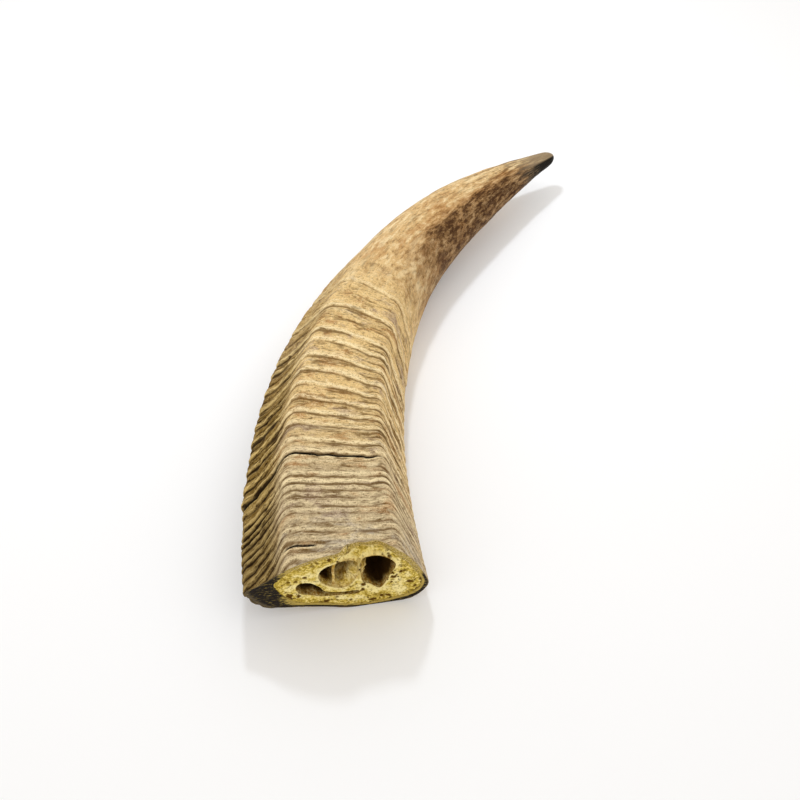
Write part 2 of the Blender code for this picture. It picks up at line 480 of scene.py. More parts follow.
MIDDLE_LINE = middle_line()


def place(across, up, station):
    """A point across and up from the middle line at a station, in metres."""
    turned = heading(station)
    whole = min(max(int(station), 0), LENGTH - 1)
    rest = station - whole
    x = MIDDLE_LINE[whole][0] + rest * math.sin(turned) + across * math.cos(turned)
    y = MIDDLE_LINE[whole][1] + rest * math.cos(turned) - across * math.sin(turned)
    return Vector((x, y, up + along(UNDERSIDES, station))) * MM


def rough(point, size, octaves=1):
    """Smooth random value from about -1 to 1 whose lumps are about size mm across."""
    if octaves == 1:
        return noise.noise(point / size)
    return noise.fractal(point / size, 1.0, 2.0, octaves)


def skin_point(point, station, shrink=1.0):
    """A point of the sheath's outline carried to a station, where the horn is smaller and rounder."""
    across, up = point[:2]
    middle = BASE_HEIGHT / 2
    wide, high = scale_at(station)
    rounder = fade(*ROUND_FADE, station)
    angle = math.atan2((up - middle) / middle, across / (BASE_WIDTH / 2))
    across += (math.cos(angle) * BASE_WIDTH / 2 - across) * rounder
    up += (middle + math.sin(angle) * middle - up) * rounder
    centre = middle * high
    return place(across * wide * shrink, centre + (up * high - centre) * shrink, station)


def hollow_point(point, station, size):
    """A point of the bone core's outline carried to a station."""
    wide, high = scale_at(station)
    middle = BASE_HEIGHT / 2
    across, up = point[:2]
    return place(across * wide * size, (middle + (up - middle) * size) * high, station)


def core_size(station):
    """How much of its full section the core still has at a station."""
    return math.sqrt(max(1.0 - (station / CORE_LENGTH) ** 3, 0.0))


def ring_profile(growth, keel, closer):
    """How deep the skin lies between two crests, from 0 on a crest to 1 in a growth line, and how much
    of a crest it is; the first also sets the painted shade in the grooves and the second the painted
    highlight on the crests. Each ring rises in a ledge beside its line and then slopes down to the next.
    closer is how far a second line shows between two wide-set ones."""
    lines = [*GROWTH_LINES, RINGS_END]
    i = bisect.bisect_right(lines, growth) - 1
    if i < 0 or i >= len(GROWTH_LINES):
        return 0.0, 0.0
    past = growth - lines[i]
    gap = lines[i + 1] - lines[i]
    ledge = min(LEDGE, 0.4 * gap)
    crest = math.exp(-(((past - ledge - 0.35) / CREST_WIDTH) ** 2)) * line_strength(i, keel)
    between = math.exp(-(((past - 0.55 * gap) / 0.45) ** 2)) * fade(4.0, 5.5, gap) * closer
    if past < ledge:
        return (1.0 - past / ledge) ** 1.3 * line_strength(i, keel), crest
    slope = 0.4 * ((past - ledge) / (gap - ledge)) ** 1.5
    lip = 0.6 * max(1.0 - (gap - past) / LIP, 0.0) ** 1.4 * line_strength(i + 1, keel)
    return max(slope + lip, between), crest


def line_strength(i, keel):
    """Some growth lines are cut deeper than others, less so on the keel."""
    strength = LINE_STRENGTHS[min(i, len(LINE_STRENGTHS) - 1)]
    return strength + 0.7 * (1.0 - strength) * keel


def chipped(across, up):
    """How far the sheath's rim has broken back, as a share, highest along the top of the core."""
    if up < BASE_HEIGHT / 2:
        return 0.0
    return fade(0.5, 5.0, across) * (1.0 - fade(15.5, 21.5, across))


def grid_rows(bm, rows):
    """A flat sheet of ROUND by rows faces, and each vertex with its place in it."""
    made = bmesh.ops.create_grid(bm, x_segments=ROUND, y_segments=rows, size=0.5)
    return [(v, round((v.co.x + 0.5) * ROUND) % ROUND, round((v.co.y + 0.5) * rows)) for v in made["verts"]]


def outer_rows():
    """Where each row of the sheath's skin lies, from the rim to the tip, with its share of the dome."""
    ringed = round(RINGS_END / RINGED_STEP)
    rows = [(RINGS_END * i / ringed, 1.0) for i in range(ringed)]
    smooth_length = LENGTH - TIP_DOME - RINGS_END
    smooth = round(smooth_length / SMOOTH_STEP)
    rows += [(RINGS_END + smooth_length * i / smooth, 1.0) for i in range(smooth)]
    for i in range(DOME_ROWS + 1):
        angle = math.pi / 2 * i / DOME_ROWS
        rows.append((LENGTH - TIP_DOME * (1 - math.sin(angle)), math.cos(angle)))
    return rows


def added(name, bm, finish):
    """Makes an object of the mesh and adds it to the scene."""
    mesh = bpy.data.meshes.new(name)
    bm.to_mesh(mesh)
    bm.free()
    mesh.materials.append(finish)
    piece = bpy.data.objects.new(name, mesh)
    bpy.context.scene.collection.objects.link(piece)
    return piece


def finished(name, bm, finish, node):
    """Adds a piece of the horn, and tells the frame what it stands for."""
    piece = added(name, bm, finish)
    piece.data.shade_smooth()
    piece.data.set_sharp_from_angle(angle=math.radians(SHARP_DEG))
    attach(piece, "root")
    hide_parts(node)
    return piece


def ringed_sheath(settings):
    """The sheath as one sheet: up the hollow's wall, over the sawn rim and along the skin to the tip."""
    skin = evenly(closed_curve(SHEATH_OUTLINE, 24), ROUND)
    core = evenly(closed_curve(CORE_OUTLINE, 24), ROUND)
    outer = outer_rows()
    rows = HOLLOW_ROWS + RIM_ROWS + len(outer) - 1
    bm = bmesh.new()
    growth_layer = bm.verts.layers.float_vector.new("growth")
    sawn_layer = bm.verts.layers.float.new("sawn")
    masks = [bm.verts.layers.float.new(name) for name in ("groove", "crest", "crack")]
    sheet = grid_rows(bm, rows)
    for vert, i, row in sheet:
        broken = broken_back(skin[i], settings)
        if row < HOLLOW_ROWS:
            station = CORE_LENGTH * math.sin((1.0 - row / HOLLOW_ROWS) * math.pi / 2)
            vert.co = hollow_point(core[i], max(station, broken), core_size(station) * HOLLOW_EASE)
            vert[growth_layer] = (*core[i][:2], 0.0)
            vert[sawn_layer] = 1.0
        elif row < HOLLOW_ROWS + RIM_ROWS:
            share = (row - HOLLOW_ROWS) / RIM_ROWS
            within = hollow_point(core[i], broken, HOLLOW_EASE)
            vert.co = within.lerp(skin_point(skin[i], broken), share)
            vert.co.z = max(vert.co.z, 0.0)
            vert[growth_layer] = (*Vector(core[i][:2]).lerp(Vector(skin[i][:2]), share), 0.0)
            # On the sawn rim the crest mask says how far out a point is, and the groove mask marks its
            # outer edge, which gets a painted highlight.
            vert[masks[0]] = fade(0.8, 1.0, share)
            vert[masks[1]] = share
            vert[sawn_layer] = 1.0
        else:
            station, shrink = outer[row - HOLLOW_ROWS - RIM_ROWS]
            across, up, run = skin[i]
            ahead = run * (1.0 - fade(*RUN_AHEAD_FADE, station))
            growth = station - ahead * (1.0 - fade(0.0, RUN_AHEAD_AT_CUT, station))
            vert.co = skin_point(skin[i], max(growth + ahead, broken), shrink)
            vert[growth_layer] = (across, up, growth)
    close_sheet(bm, sheet, rows)
    moves = []
    for vert in bm.verts:
        if vert[sawn_layer] < 0.5:
            depth, *values = skin_relief(*vert[growth_layer], settings)
            for layer, value in zip(masks, values):
                vert[layer] = value
            moves.append((vert, vert.normal * -depth * MM))
    for vert, move in moves:
        vert.co += move
        vert.co.y = max(vert.co.y, BASE_MIDDLE[1] * MM)
        vert.co.z = max(vert.co.z, 0.0)
    return finished("ringed_sheath", bm, horn_finish(settings), "horn_sheath")


def broken_back(point, settings):
    """How far the rim has broken back at a point of the outline, in mm."""
    across, up = point[:2]
    uneven = 0.85 + 0.6 * rough(Vector((across, up, 3.0)), 3.6)
    return max(chipped(across, up) * settings.chip_depth * uneven, 0.0)


def close_sheet(bm, sheet, rows):
    """Joins the sheet's two sides into a tube, and closes each of its ends at a point."""
    bmesh.ops.remove_doubles(bm, verts=[v for v, i, row in sheet if i == 0], dist=1e-7)
    for end in (0, rows):
        ring = [v for v, i, row in sheet if v.is_valid and row == end]
        centre = sum((v.co for v in ring), Vector()) / len(ring)
        bmesh.ops.pointmerge(bm, verts=ring, merge_co=centre)
    bmesh.ops.recalc_face_normals(bm, faces=bm.faces)
    bm.normal_update()


def keel_share(across):
    """1 on the bevel along the left side, 0 on the top."""
    return 1.0 - fade(-20.0, -13.0, across)


def arch(across, line):
    """How far the upper growth lines droop on the right, in mm."""
    return 3.2 * fade(0.0, 24.0, across) * fade(44.0, 74.0, line)


def groove_depth(across, up):
    """Depth of the grooves at a place on the outline, in mm: deep on the keel, shallow underneath."""
    depth = 0.46 + 0.54 * keel_share(across)
    depth -= 0.16 * fade(-5.0, 4.0, across) * (1.0 - fade(16.0, 22.0, across))
    depth += 0.3 * fade(17.0, 25.0, across)
    return depth * (0.65 + 0.35 * fade(0.0, 6.0, up))


def fine_lines(across, up, line):
    """Thin growth lines between the main ones, broken here and there, from 0 to 1."""
    wave = rough(Vector((across * 0.1, up * 0.1, line)), 1.3)
    patchy = fade(-0.25, 0.3, rough(Vector((across + 11.0, up, line * 1.3)), 6.0))
    return max(1.0 - abs(wave) / 0.17, 0.0) * patchy


def skin_relief(across, up, line, settings):
    """How far the skin lies under its smooth shape, in mm, and the masks that colour it: painted shade in
    the grooves and the cracks, and a painted highlight on the crests and the cracks' lips.
    """
    line += arch(across, line)
    spot = Vector((across, up, line))
    ringed = 1.0 - fade(RINGS_END - 30.0, RINGS_END + 4.0, line)
    wander = 0.6 * rough(Vector((across, up, line * 0.5)), 12.0) + 0.3 * rough(spot, 3.5)
    keel = keel_share(across)
    closer = 0.15 + 0.55 * max(keel, fade(8.0, 19.0, across), fade(90.0, 99.0, line))
    groove, crest = ring_profile(line + wander, keel, closer)
    patchy = 0.95 + 0.8 * rough(Vector((across, up, line * 1.6)), 9.0)
    fainter = 1.0 - (1.0 - FAINTEST) * fade(FAINTER_FROM, RINGS_END, line)
    groove *= min(max(patchy, 0.2), 1.25) * fainter
    fine = fine_lines(across, up, line + wander) * (0.15 + 0.85 * ringed)
    deep = groove_depth(across, up) * settings.ring_depth
    lumps = max(rough(Vector((across, up, line * 0.6)), 2.3, 2) - 0.15, 0.0)
    crack = open_crack(across, up, line + 0.8 * wander)
    past = line + wander - CRACK_LINE
    ledge = keel * fade(0.0, 0.8, past) * math.exp(-max(past, 0.0) / 4.0)
    depth = groove * deep + fine * settings.fine_depth * (0.7 + deep)
    depth += 0.22 * rough(spot + Vector((0.0, 40.0, 0.0)), 9.0, 2)
    depth += 0.2 * lumps * (1.0 + 1.5 * ringed + 2.0 * keel)
    depth += crack * settings.crack_depth - ledge * settings.ledge_height
    # The lip 1 mm towards the cut from each crack gets a painted highlight through the crest mask.
    lip = open_crack(across, up, line + 0.8 * wander + 1.0)
    return depth, min(groove + 0.6 * fine, 1.0), max(crest * fainter, lip), crack


def open_crack(across, up, line):
    """How far the cracks are open there, from 0 to 1."""
    if up < BASE_HEIGHT / 3:
        return 0.0
    wobble = 0.5 * rough(Vector((across, 0.0, 9.0)), 5.0)
    long_crack = math.exp(-(((line - CRACK_LINE + wobble) / 0.42) ** 2))
    long_crack *= (0.75 + 0.25 * fade(-19.0, -13.0, across)) * (1.0 - 0.8 * fade(14.0, 23.0, across))
    station, left, right = SHORT_CRACK
    short_crack = math.exp(-(((line - station + wobble) / 0.38) ** 2))
    short_crack *= fade(left - 2.0, left + 1.0, across) * (1.0 - fade(right - 2.0, right + 1.0, across))
    return max(long_crack, short_crack)


def horn_finish(settings):
    """Keratin: lined by its growth, weathered at the cut, mottled and dark towards the tip, with painted
    shade in its grooves and cracks and partly on the left bevel, and painted highlights on its crests and
    the rim's outer edge.
    """
    horn = Finish("weathered_horn", 0.55, 0.1)
    growth = horn.attribute("growth", "Vector")
    across, up, line = (horn.channel(growth, axis) for axis in "XYZ")
    groove, crest, crack, sawn = (horn.attribute(name) for name in ("groove", "crest", "crack", "sawn"))
    keel = 1.0 - horn.part(across, -20.0, -13.0)
    bevel = keel * (1.0 - 0.7 * horn.part(line, 55.0, 140.0))
    ringed = 1.0 - horn.part(line, 108.0, 142.0)
    smooth = 1.0 - ringed

    bands = horn.noise(growth, (0.04, 0.04, 0.55), 3.0, 0.6)
    dashes = horn.noise(growth, (0.45, 0.45, 2.0), 3.0, 0.6)
    grain = horn.noise(growth, (2.2, 2.2, 2.2), 3.0, 0.65)
    patches = horn.noise(growth, (0.08, 0.08, 0.2), 3.0, 0.6, 0.5)
    mottle = horn.noise(growth, (0.5, 0.5, 0.34), 5.0, 0.68, 0.25)
    ragged = horn.noise(growth, (0.21, 0.21, 0.15), 4.0, 0.6, 0.35)
    blotch = horn.noise(growth, (0.1, 0.1, 0.06), 5.0, 0.66, 0.4)

    body = horn.mix(horn.part(line + 40.0 * bands, 42.0, 84.0), settings.weathered, settings.golden)
    body = horn.mix(horn.part(line + 30.0 * mottle, 125.0, 162.0), body, settings.tan)
    body = horn.mix(horn.part(patches, 0.53, 0.68) * 0.65 * ringed, body, settings.stain)
    body = horn.mix(horn.part(patches, 0.46, 0.32) * 0.7 * ringed, body, settings.mauve)
    body = horn.mix(horn.part(patches, 0.5, 0.38) * horn.part(line, 20.0, 4.0) * 0.7, body, settings.ashen)
    # The bevel is partly its own darker horn and partly painted shade.
    body = horn.mix(bevel, body, settings.keel)
    # Of these two colours, the dark one gives the horn's own dark flecks and mottling and also the painted
    # shade in the grooves and on the bevel; the light one gives the pale flecks and also the painted
    # highlight on the crests.
    dark_tone_and_shade = horn.mix(bevel, settings.groove, settings.keel_groove)
    light = horn.mix(bevel, settings.cream, settings.keel_light)

    body = horn.mix(horn.part(bands, 0.53, 0.68) * 0.35 * ringed, body, dark_tone_and_shade)
    body = horn.mix(horn.part(bands, 0.46, 0.3) * 0.4 * ringed, body, light)
    body = horn.mix(horn.part(mottle, 0.52, 0.64) * (0.2 + 0.4 * smooth), body, dark_tone_and_shade)
    body = horn.mix(horn.part(mottle, 0.46, 0.36) * (0.2 + 0.25 * smooth), body, light)
    body = horn.mix(horn.part(ragged, 0.47, 0.35) * smooth * 0.5, body, light)
    body = horn.mix(horn.part(ragged, 0.52, 0.64) * smooth * 0.35, body, dark_tone_and_shade)
    # Painted highlight along the ring crests and the lips of the cracks.
    body = horn.mix(crest * horn.part(dashes, 0.66, 0.46) * 0.9, body, light)
    body = horn.mix(horn.part(dashes, 0.54, 0.68) * (0.25 + 0.4 * ringed + 0.2 * bevel), body, dark_tone_and_shade)
    body = horn.mix(horn.part(dashes, 0.44, 0.3) * (0.2 + 0.35 * ringed), body, light)
    body = horn.mix(horn.part(grain, 0.54, 0.68) * (0.55 - 0.2 * smooth), body, dark_tone_and_shade)
    body = horn.mix(horn.part(grain, 0.45, 0.3) * (0.6 - 0.3 * smooth), body, light)

    body = horn.mix(horn.part(blotch, 0.52, 0.66) * smooth * 0.4, body, settings.stain)
    body = horn.mix(horn.part(blotch, 0.48, 0.36) * smooth * 0.35, body, light)
    edge = across + 34.0 * blotch + 20.0 * ragged + 6.0 * mottle
    inner = horn.part(line, 118.0, 176.0) * horn.part(line, 246.0, 228.0)
    body = horn.mix(horn.part(edge, 30.0, 44.0) * inner * 0.5, body, settings.stain)
    crumbly = 0.35 + 0.75 * horn.part(0.6 * mottle + 0.4 * ragged + 0.3 * grain, 0.5, 0.78)
    darkness = horn.part(edge, 38.0, 52.0) * inner * crumbly
    body = horn.mix(darkness, body, settings.inner_brown)
    browner = horn.part(line, 190.0, 226.0) * horn.part(line, 242.0, 228.0)
    body = horn.mix(browner * horn.part(ragged, 0.42, 0.6) * 0.5, body, settings.inner_brown)
    body = horn.mix(horn.part(line + 24.0 * ragged, 232.0, 254.0) * 0.75, body, settings.grey_tip)
    black = horn.part(line + 30.0 * mottle, 238.0, 254.0) * horn.part(up - 0.8 * across, 17.0, 9.0)
    body = horn.mix(black, body, settings.black_tip)
    # Painted shade in the grooves, stronger on the bevel and on the right flank.
    grooved = 0.76 + 0.16 * bevel + 0.12 * horn.part(across, 16.0, 22.0)
    body = horn.mix(horn.part(groove + 0.4 * dashes, 0.3, 0.95) * grooved, body, dark_tone_and_shade)
    # Painted shade on the bevel, darker near the cut and low down.
    darker = 0.35 * horn.part(line, 38.0, 16.0) + 0.4 * horn.part(up, 19.0, 13.0)
    body = horn.mix(bevel * darker, body, dark_tone_and_shade)
    # Painted shade in the open cracks.
    body = horn.mix(horn.part(crack, 0.08, 0.7), body, CRACK_SHADE)

    lower_right = horn.part(across - 0.8 * up, 14.0, 18.0)
    outer = horn.part(crest, 0.25, 0.55)
    sawn_fibres = horn.noise(growth, (0.5, 2.0, 1.0), 4.0, 0.65, 0.4)
    wedge = horn.part(across + 14.0 * sawn_fibres, -7.0, -11.0)
    dark_rim = wedge + (lower_right + horn.part(up, 11.0, 9.0)) * outer
    rim = horn.mix(horn.part(dark_rim, 0.0, 1.0), settings.sawn_tan, settings.sawn_dark)
    rim = horn.mix(horn.part(sawn_fibres, 0.54, 0.68) * 0.6, rim, settings.sawn_tan)
    rim = horn.mix(horn.part(sawn_fibres, 0.5, 0.34) * 0.8, rim, settings.keel_groove)
    specks = horn.part(up, 14.0, 18.0) * horn.part(across, -16.0, -11.0) * 0.6
    rim = horn.mix(horn.part(grain, 0.5, 0.62) * specks, rim, settings.groove)
    rim = horn.mix(horn.part(grain, 0.48, 0.36) * specks, rim, settings.cream)
    # Painted highlight: the pale weathered colour along the rim's outer edge.
    rim = horn.mix(groove * 0.6, rim, settings.weathered)
    horn.feed("Base Color", horn.mix(sawn, body, rim))
    horn.feed("Roughness", 0.46 + 0.25 * mottle + 0.15 * groove)
    horn.bump(0.7 * dashes + 0.6 * grain + 0.4 * mottle, 0.75, 0.0006)
    return horn.material


def inside(point, outline):
    """Whether a point lies within a closed outline."""
    x, y = point
    within = False
    ahead = outline[-1]
    for spot in outline:
        if (spot[1] > y) != (ahead[1] > y):
            crossing = spot[0] + (y - spot[1]) * (ahead[0] - spot[0]) / (ahead[1] - spot[1])
            if x < crossing:
                within = not within
        ahead = spot
    return within


def nearest(point, outline):
    """The place on an outline that is nearest to a point, and how far away it is."""
    best = None
    ahead = outline[-1]
    for spot in outline:
        run = (ahead[0] - spot[0], ahead[1] - spot[1])
        reach = (point[0] - spot[0]) * run[0] + (point[1] - spot[1]) * run[1]
        share = min(max(reach / (run[0] ** 2 + run[1] ** 2), 0.0), 1.0)
        there = (spot[0] + run[0] * share, spot[1] + run[1] * share)
        away = math.dist(point, there)
        if best is None or away < best[1]:
            best = (there, away)
        ahead = spot
    return best


def open_edges(vert):
    """The edges at a vertex that have one face only."""
    return [edge for edge in vert.link_edges if edge.is_boundary]


def core_plate(bm, outline, mouths):
    """The core's cut face as a fine sheet, trimmed to its outline and to the mouths of the sinuses."""
    left, low = (min(point[k] for point in outline) for k in range(2))
    right, high = (max(point[k] for point in outline) for k in range(2))
    across, up = round((right - left) / FACE_STEP), round((high - low) / FACE_STEP)
    bmesh.ops.create_grid(bm, x_segments=across, y_segments=up, size=0.5)
    for vert in bm.verts:
        vert.co.x = left + (vert.co.x + 0.5) * across * FACE_STEP
        vert.co.y = low + (vert.co.y + 0.5) * up * FACE_STEP
    spare = [
        vert
        for vert in bm.verts
        if not inside(vert.co.xy, outline) or any(inside(vert.co.xy, mouth) for mouth in mouths)
    ]
    while spare:
        bmesh.ops.delete(bm, geom=spare, context="VERTS")
        spare = [v for v in bm.verts if not v.link_faces or len(open_edges(v)) > 2]
    edges = [outline, *mouths]
    rims = [[] for _ in edges]
    for edge in [e for e in bm.edges if e.is_boundary]:
        spot = (edge.verts[0].co + edge.verts[1].co).xy / 2
        away = [nearest(spot, line)[1] for line in edges]
        rims[away.index(min(away))].append(edge)
    for rim, line in zip(rims, edges):
        for vert in {v for edge in rim for v in edge.verts}:
            vert.co = Vector((*nearest(vert.co.xy, line)[0], 0.0))
    free = [v for v in bm.verts if not open_edges(v)]
    for _ in range(6):
        bmesh.ops.smooth_vert(bm, verts=free, factor=0.5, use_axis_x=True, use_axis_y=True)
    return rims


def extruded(bm, rim, moved):
    """Extrudes a loop of edges once, and moves the new vertices."""
    made = bmesh.ops.extrude_edge_only(bm, edges=rim)["geom"]
    for vert in [v for v in made if isinstance(v, bmesh.types.BMVert)]:
        vert.co = moved(vert.co)
    return [e for e in made if isinstance(e, bmesh.types.BMEdge)]


def rim_verts(rim):
    """The vertices of a loop of edges, each once."""
    return list({v for edge in rim for v in edge.verts})


def bone_core(settings):
    """The core: a porous cut face with the three sinuses drawn into it, and the bone behind it. It is
    modelled with the face across x and y and the station along z, and is then turned into place."""
    outline = closed_curve(CORE_OUTLINE, 16)
    mouths = [closed_curve(sinus, 14) for sinus, _ in SINUSES]
    bm = bmesh.new()
    layers = {name: bm.verts.layers.float.new(name) for name in ("pit", "sinus", "edge", "lip")}
    rims = core_plate(bm, outline, mouths)
    for vert in bm.verts:
        away = nearest(vert.co.xy, outline)[1]
        # The pore mask carries painted shade into the pores.
        depth, vert[layers["pit"]] = face_relief(vert.co.xy, settings)
        vert[layers["edge"]] = (1.0 - fade(0.6, 3.2, away)) * (1.0 - chipped(*vert.co.xy))
        # Painted highlight on the cut face along the rims of the two large sinuses.
        from_sinus = min(nearest(vert.co.xy, mouth)[1] for mouth in mouths[:2])
        vert[layers["lip"]] = 1.0 - fade(0.3, 1.1, from_sinus)
        at_mouth = any(edge in rim for rim in rims[1:] for edge in open_edges(vert))
        vert.co.z = depth * (0.4 if at_mouth else 1.0)
    core_wall(bm, rims[0])
    for rim, mouth, (_, depth), lining in zip(rims[1:], mouths, SINUSES, SINUS_LININGS):
        sinus_wall(bm, rim, mouth, depth, lining, layers)
    lamella(bm, layers)
    for vert in bm.verts:
        across, up, station = vert.co
        wide, high = scale_at(station)
        vert.co = place(across * wide, up * high, station)
    bmesh.ops.recalc_face_normals(bm, faces=bm.faces)
    return finished("spongy_bone_core", bm, bone_finish(settings), "bone_core")


def core_wall(bm, rim):
    """The core's hidden side wall, drawn on from the edge of its cut face and closed at a point."""
    middle = BASE_HEIGHT / 2
    size_before = 1.0
    for i in range(1, CORE_ROWS + 1):
        station = CORE_LENGTH * math.sin(i / CORE_ROWS * math.pi / 2)
        size = max(core_size(station), 0.01)
        ratio = size / size_before
        size_before = size
        rim = extruded(
            bm, rim, lambda co: Vector((co.x * ratio, middle + (co.y - middle) * ratio, station))
        )
    bmesh.ops.pointmerge(bm, verts=rim_verts(rim), merge_co=Vector((0.0, middle, CORE_LENGTH)))


def sinus_wall(bm, rim, mouth, depth, lining, layers):
    """Draws a sinus into the core: a lumpy wall that narrows as it goes in, closed at its end. lining is
    how far spongy bone stands into it, in mm, on which side, and how dark its painted shade is at its
    mouth; the painted shade deepens further in and is lighter on the spongy bone."""
    shelf, side, shaded = lining
    centre = sum((Vector(p) for p in mouth), Vector((0.0, 0.0))) / len(mouth)
    stations = {}
    size_before = 1.0
    for i in range(1, SINUS_ROWS + 1):
        share = (i / SINUS_ROWS) ** 1.5 * 0.97
        size = math.sqrt(1.0 - share**3)
        ratio = size / size_before
        size_before = size
        rim = extruded(
            bm, rim, lambda co: Vector((*(centre + (co.xy - centre) * ratio), share * depth))
        )
        stations.update((v, share * depth) for v in rim_verts(rim))
    for vert, station in stations.items():
        out = (vert.co.xy - centre).normalized()
        spot = Vector((vert.co.x, station, vert.co.y))
        lump = (0.55 * rough(spot, 3.2, 3) + 0.35 * rough(spot, 1.1)) * fade(0.0, 2.5, station)
        spongy = max(out.dot(Vector(side)), 0.0) ** 2
        spongy *= fade(0.3, 2.5, station) * (1.0 - fade(8.0, 18.0, station))
        lump -= shelf * spongy * (1.0 + 0.5 * rough(spot, 1.5))
        vert.co.x += out.x * lump
        vert.co.y += out.y * lump
        # Painted shade in the sinus: darker further in from the mouth, lighter on the spongy bone standing
        # in.
        dark = shaded + (1.0 - shaded) * fade(0.0, 5.0, station)
        vert[layers["sinus"]] = dark * (1.0 - 0.9 * (1.0 - shaded) * min(spongy * shelf, 1.0))
        # Painted highlight on the first mm of the sinus wall, along its rim.
        vert[layers["lip"]] = 1.0 - fade(0.0, 0.9, station)
        vert[layers["pit"]] = max(rough(spot, 1.4, 2), 0.0) * 0.8
    bmesh.ops.pointmerge(bm, verts=rim_verts(rim), merge_co=Vector((*centre, depth)))


def lamella(bm, layers):
    """The thin, curved wall that stands inside the left sinus, set back from the cut."""
    across, low, high = LAMELLA
    made = bmesh.ops.create_grid(bm, x_segments=24, y_segments=30, size=0.5)["verts"]
    for vert in made:
        up = low + (vert.co.y + 0.5) * (high - low)
        station = LAMELLA_START + (vert.co.x + 0.5) * LAMELLA_REACH
        station += 0.5 * rough(Vector((up, 3.0, 0.0)), 3.0)
        bend = 0.5 * rough(Vector((station, up, 0.0)), 5.0) + 0.04 * (up - (low + high) / 2)
        vert.co = Vector((across + bend, up, station))
        vert[layers["sinus"]] = 0.6
        vert[layers["pit"]] = max(rough(Vector((station, up, 8.0)), 1.2), 0.0)
    faces = list({face for vert in made for face in vert.link_faces})
    bm.normal_update()
    bmesh.ops.solidify(bm, geom=faces, thickness=LAMELLA_THICKNESS)


def face_relief(point, settings):
    """How far the cut face is sunk at a point, in mm, and how much of a pore it is, from 0 to 1."""
    spot = Vector((point.x, 0.0, point.y))
    spongy = fade(-0.3, 0.35, rough(spot + Vector((0.0, 5.0, 0.0)), 7.0, 2))
    pore = 0.0
    for size, radius in ((2.4, 0.4), (1.3, 0.32)):
        warped = spot + Vector((rough(spot, 1.3), 0.0, rough(spot + Vector((9.0, 0.0, 0.0)), 1.3))) * 0.5
        from_pore = noise.voronoi(warped / size + Vector((0.0, 0.3, 0.0)))[0][0]
        reach = radius * (0.7 + 0.6 * rough(spot, 5.0) + 0.3 * spongy)
        pore = max(pore, 1.0 - fade(reach * 0.5, reach * 1.4, from_pore))
    pore *= 0.35 + 0.65 * spongy
    grain = 0.16 * rough(spot, 1.1, 3) + 0.12 * rough(spot, 4.0)
    depth = max(pore * settings.pore_depth + grain + 0.12, 0.0)
    crumbled = max(1.0 - from_pore / 2.4, 0.0) ** 1.5
    return depth + settings.top_break * chipped(*point) * crumbled, pore


def bone_finish(settings):
    """Dry spongy bone, cream to greenish yellow, with painted shade in its pores, brown sinus linings
    darkened inwards by painted shade, and a painted highlight along the sinus rims.
    """
    bone = Finish("spongy_bone", 0.85, 0.1)
    spot = bone.stretched(bone.node("ShaderNodeTexCoord", {}, {}, "Object"), (1 / MM, 1 / MM, 1 / MM))
    pit = bone.attribute("pit")
    sinus = bone.attribute("sinus")
    patches = bone.noise(spot, (0.25, 0.25, 0.25), 4.0, 0.6)
    crumbs = bone.noise(spot, (1.2, 1.2, 1.2), 4.0, 0.65)
    grain = bone.noise(spot, (3.5, 3.5, 3.5), 3.0, 0.6)
    edge = bone.attribute("edge")
    body = bone.mix(bone.part(patches + 0.15 * edge, 0.38, 0.6), settings.cream, settings.yellow)
    body = bone.mix(bone.part(patches + 0.5 * crumbs, 0.78, 0.95) * 0.8, body, settings.olive)
    body = bone.mix(bone.part(crumbs + 0.08 * edge, 0.5, 0.66) * 0.75, body, settings.olive)
    body = bone.mix(bone.part(crumbs, 0.46, 0.36) * 0.75, body, settings.cream)
    # Painted highlight along the sinus rims.
    body = bone.mix(bone.attribute("lip") * 0.7, body, settings.cream)
    # The brown lining, then painted shade, both growing deeper into the sinuses.
    body = bone.mix(sinus * (0.55 + 0.75 * bone.part(crumbs, 0.4, 0.58)), body, settings.sinus)
    body = bone.mix(bone.part(sinus + 0.5 * patches, 0.85, 1.2), body, settings.depths)
    # Painted shade at the bottom of the pores, and dark spots on the sinus walls.
    body = bone.mix(bone.part(pit + 0.5 * grain, 0.4, 1.1), body, settings.pit)
    bone.feed("Base Color", body)
    bone.bump(0.6 * crumbs + 0.5 * grain, 0.6, 0.0005)
    return bone.material


def floor_finish(settings):
    """Plain matt paper that gives off a little light, so that it stays pale near the horn."""
    floor = Finish("pale_floor", 0.9, 0.5)
    floor.shader.inputs["Base Color"].default_value = (*settings.floor, 1.0)
    floor.shader.inputs["Emission Color"].default_value = (1.0, 1.0, 1.0, 1.0)
    floor.shader.inputs["Emission Strength"].default_value = settings.floor_glow
    return floor.material


def lay_floor(settings):
    """A plain square floor."""
    bm = bmesh.new()
    bmesh.ops.create_grid(bm, x_segments=1, y_segments=1, size=FLOOR_REACH)
    floor = added("pale_floor", bm, floor_finish(settings))


def hang_lamp(power):
    """A small square lamp beyond the tip, which throws the shadow towards the camera."""
    data = bpy.data.lights.new("key_lamp", "AREA")
    data.shape = "SQUARE"
    data.size = LAMP_SIZE
    data.energy = power
    data.color = LAMP_COLOUR
    lamp = bpy.data.objects.new("key_lamp", data)
    lamp.location = LAMP_PLACE
    lamp.rotation_euler = (Vector(LAMP_TARGET) - Vector(LAMP_PLACE)).to_track_quat("-Z", "Y").to_euler()
    bpy.context.scene.collection.objects.link(lamp)


def even_light(strength):
    """The same soft light from every side, slightly warm."""
    world = bpy.data.worlds.new("even_light")
    world.use_nodes = True
    background = world.node_tree.nodes["Background"]
    background.inputs["Color"].default_value = EVEN_LIGHT_COLOUR
    background.inputs["Strength"].default_value = strength
    bpy.context.scene.world = world


